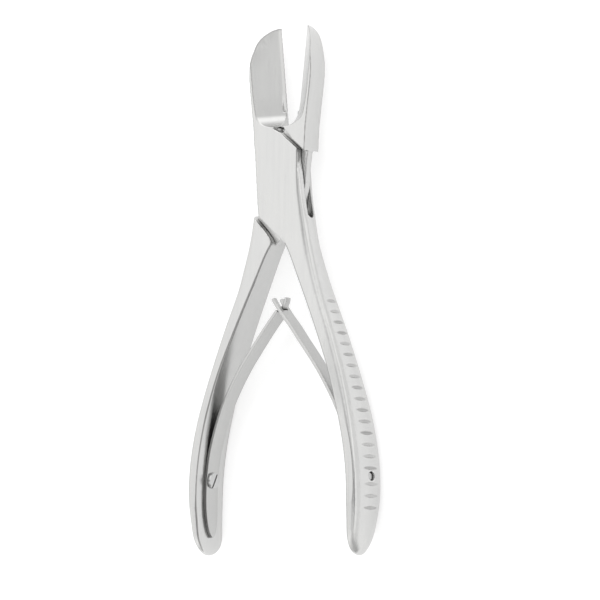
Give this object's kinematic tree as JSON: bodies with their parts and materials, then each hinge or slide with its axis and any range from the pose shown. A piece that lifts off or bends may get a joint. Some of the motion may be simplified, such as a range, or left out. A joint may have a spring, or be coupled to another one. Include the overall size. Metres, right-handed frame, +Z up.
{
  "type": "bone cutting forceps",
  "caption": "Straight bone cutting forceps: two hollow-ground blades, box lock with flush pin, ridged handles and double leaf springs with interlocking tips.",
  "frame": {"origin": "bottom centre of the tool as it lies on its back with the springs relaxed; the pivot axis is at X = 0, Y = 39.9 mm, parallel to Z", "axes": "+Y from the handles towards the blade tips, +Z up through the box's front face, +X to the right seen from the front"},
  "size_m": [0.0816, 0.19, 0.0148],
  "materials": {
    "satin_steel": "satin, fine brushed along the arms",
    "spring_steel": "satin rolled strip",
    "screw_steel": "turned, lightly polished"
  },
  "bodies": {
    "box_arm": {"female_arm": "satin_steel", "pivot_pin": "satin_steel", "right_leaf_spring": "spring_steel", "right_spring_screw": "screw_steel"},
    "tongue_arm": {"male_arm": "satin_steel", "left_leaf_spring": "spring_steel", "left_spring_screw": "screw_steel"}
  },
  "joints": [
    {"name": "pivot", "type": "hinge", "parent": "box_arm", "child": "tongue_arm", "pos_m": [0, 0.0399, 0.0074], "axis": [0, 0, 1], "range_deg": [0, 12.4], "stiffness_Nm_per_rad": 0.6, "deforming": ["left_leaf_spring", "right_leaf_spring"]}
  ]
}
